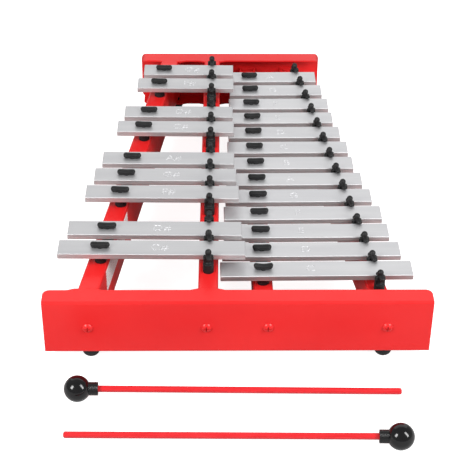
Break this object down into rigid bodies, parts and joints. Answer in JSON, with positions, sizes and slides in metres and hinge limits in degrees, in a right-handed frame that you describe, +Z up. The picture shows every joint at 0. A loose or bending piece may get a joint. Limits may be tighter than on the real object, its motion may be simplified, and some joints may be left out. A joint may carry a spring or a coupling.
{
  "type": "glockenspiel",
  "caption": "Chromatic glockenspiel: two rows of tuned aluminium bars held by rubber toggles and posts on a tapering folded-steel frame, with two ball-headed mallets.",
  "frame": {"origin": "on the table, under the middle of the whole object's bounding box, mallets included", "axes": "+X to the right, from the accidental bars to the natural bars; +Y from the longest bars to the shortest; +Z up"},
  "size_m": [0.312, 0.5322, 0.0812],
  "materials": {
    "frame_paint": "smooth semi-gloss powder coat",
    "bar_aluminium": "fine satin grain along the bar, bright sawn ends",
    "rubber": "matt moulded rubber",
    "nut_steel": "zinc-plated steel",
    "label_paper": "coated paper label",
    "mallet_head": "polished hard plastic",
    "mallet_stick": "smooth glossy plastic rod"
  },
  "bodies": {
    "frame": {"front_plate": "frame_paint", "back_plate": "frame_paint", "rail_natural_inner": "frame_paint", "rail_natural_outer": "frame_paint", "rail_accidental_inner": "frame_paint", "rail_accidental_outer": "frame_paint", "natural_toggles": "rubber", "accidental_toggles": "rubber", "natural_posts": "rubber", "accidental_posts": "rubber", "front_screws": "frame_paint", "back_screws": "frame_paint", "front_nuts": "nut_steel", "back_nuts": "nut_steel", "front_feet": "rubber", "back_feet": "rubber", "rail_label": "label_paper"},
    "natural_bar_1": {"natural_bar_1": "bar_aluminium"},
    "natural_bar_2": {"natural_bar_2": "bar_aluminium"},
    "natural_bar_3": {"natural_bar_3": "bar_aluminium"},
    "natural_bar_4": {"natural_bar_4": "bar_aluminium"},
    "natural_bar_5": {"natural_bar_5": "bar_aluminium"},
    "natural_bar_6": {"natural_bar_6": "bar_aluminium"},
    "natural_bar_7": {"natural_bar_7": "bar_aluminium"},
    "natural_bar_8": {"natural_bar_8": "bar_aluminium"},
    "natural_bar_9": {"natural_bar_9": "bar_aluminium"},
    "natural_bar_10": {"natural_bar_10": "bar_aluminium"},
    "natural_bar_11": {"natural_bar_11": "bar_aluminium"},
    "natural_bar_12": {"natural_bar_12": "bar_aluminium"},
    "natural_bar_13": {"natural_bar_13": "bar_aluminium"},
    "accidental_bar_1": {"accidental_bar_1": "bar_aluminium"},
    "accidental_bar_2": {"accidental_bar_2": "bar_aluminium"},
    "accidental_bar_3": {"accidental_bar_3": "bar_aluminium"},
    "accidental_bar_4": {"accidental_bar_4": "bar_aluminium"},
    "accidental_bar_5": {"accidental_bar_5": "bar_aluminium"},
    "accidental_bar_6": {"accidental_bar_6": "bar_aluminium"},
    "accidental_bar_7": {"accidental_bar_7": "bar_aluminium"},
    "accidental_bar_8": {"accidental_bar_8": "bar_aluminium"},
    "accidental_bar_9": {"accidental_bar_9": "bar_aluminium"},
    "far_mallet": {"far_mallet_head": "mallet_head", "far_mallet_stick": "mallet_stick"},
    "near_mallet": {"near_mallet_head": "mallet_head", "near_mallet_stick": "mallet_stick"}
  },
  "joints": [
    {"name": "natural_bar_1_lift", "type": "slide", "parent": "frame", "child": "natural_bar_1", "axis": [0, 0, 1], "range_m": [0, 0.0003]},
    {"name": "natural_bar_2_lift", "type": "slide", "parent": "frame", "child": "natural_bar_2", "axis": [0, 0, 1], "range_m": [0, 0.0003]},
    {"name": "natural_bar_3_lift", "type": "slide", "parent": "frame", "child": "natural_bar_3", "axis": [0, 0, 1], "range_m": [0, 0.0003]},
    {"name": "natural_bar_4_lift", "type": "slide", "parent": "frame", "child": "natural_bar_4", "axis": [0, 0, 1], "range_m": [0, 0.0003]},
    {"name": "natural_bar_5_lift", "type": "slide", "parent": "frame", "child": "natural_bar_5", "axis": [0, 0, 1], "range_m": [0, 0.0003]},
    {"name": "natural_bar_6_lift", "type": "slide", "parent": "frame", "child": "natural_bar_6", "axis": [0, 0, 1], "range_m": [0, 0.0003]},
    {"name": "natural_bar_7_lift", "type": "slide", "parent": "frame", "child": "natural_bar_7", "axis": [0, 0, 1], "range_m": [0, 0.0003]},
    {"name": "natural_bar_8_lift", "type": "slide", "parent": "frame", "child": "natural_bar_8", "axis": [0, 0, 1], "range_m": [0, 0.0003]},
    {"name": "natural_bar_9_lift", "type": "slide", "parent": "frame", "child": "natural_bar_9", "axis": [0, 0, 1], "range_m": [0, 0.0003]},
    {"name": "natural_bar_10_lift", "type": "slide", "parent": "frame", "child": "natural_bar_10", "axis": [0, 0, 1], "range_m": [0, 0.0003]},
    {"name": "natural_bar_11_lift", "type": "slide", "parent": "frame", "child": "natural_bar_11", "axis": [0, 0, 1], "range_m": [0, 0.0003]},
    {"name": "natural_bar_12_lift", "type": "slide", "parent": "frame", "child": "natural_bar_12", "axis": [0, 0, 1], "range_m": [0, 0.0003]},
    {"name": "natural_bar_13_lift", "type": "slide", "parent": "frame", "child": "natural_bar_13", "axis": [0, 0, 1], "range_m": [0, 0.0003]},
    {"name": "accidental_bar_1_lift", "type": "slide", "parent": "frame", "child": "accidental_bar_1", "axis": [0, 0, 1], "range_m": [0, 0.0003]},
    {"name": "accidental_bar_2_lift", "type": "slide", "parent": "frame", "child": "accidental_bar_2", "axis": [0, 0, 1], "range_m": [0, 0.0003]},
    {"name": "accidental_bar_3_lift", "type": "slide", "parent": "frame", "child": "accidental_bar_3", "axis": [0, 0, 1], "range_m": [0, 0.0003]},
    {"name": "accidental_bar_4_lift", "type": "slide", "parent": "frame", "child": "accidental_bar_4", "axis": [0, 0, 1], "range_m": [0, 0.0003]},
    {"name": "accidental_bar_5_lift", "type": "slide", "parent": "frame", "child": "accidental_bar_5", "axis": [0, 0, 1], "range_m": [0, 0.0003]},
    {"name": "accidental_bar_6_lift", "type": "slide", "parent": "frame", "child": "accidental_bar_6", "axis": [0, 0, 1], "range_m": [0, 0.0003]},
    {"name": "accidental_bar_7_lift", "type": "slide", "parent": "frame", "child": "accidental_bar_7", "axis": [0, 0, 1], "range_m": [0, 0.0003]},
    {"name": "accidental_bar_8_lift", "type": "slide", "parent": "frame", "child": "accidental_bar_8", "axis": [0, 0, 1], "range_m": [0, 0.0003]},
    {"name": "accidental_bar_9_lift", "type": "slide", "parent": "frame", "child": "accidental_bar_9", "axis": [0, 0, 1], "range_m": [0, 0.0003]},
    {"name": "far_mallet_lift", "type": "slide", "parent": "frame", "child": "far_mallet", "axis": [0, 0, 1], "range_m": [0, 0.12]},
    {"name": "near_mallet_lift", "type": "slide", "parent": "frame", "child": "near_mallet", "axis": [0, 0, 1], "range_m": [0, 0.12]}
  ]
}
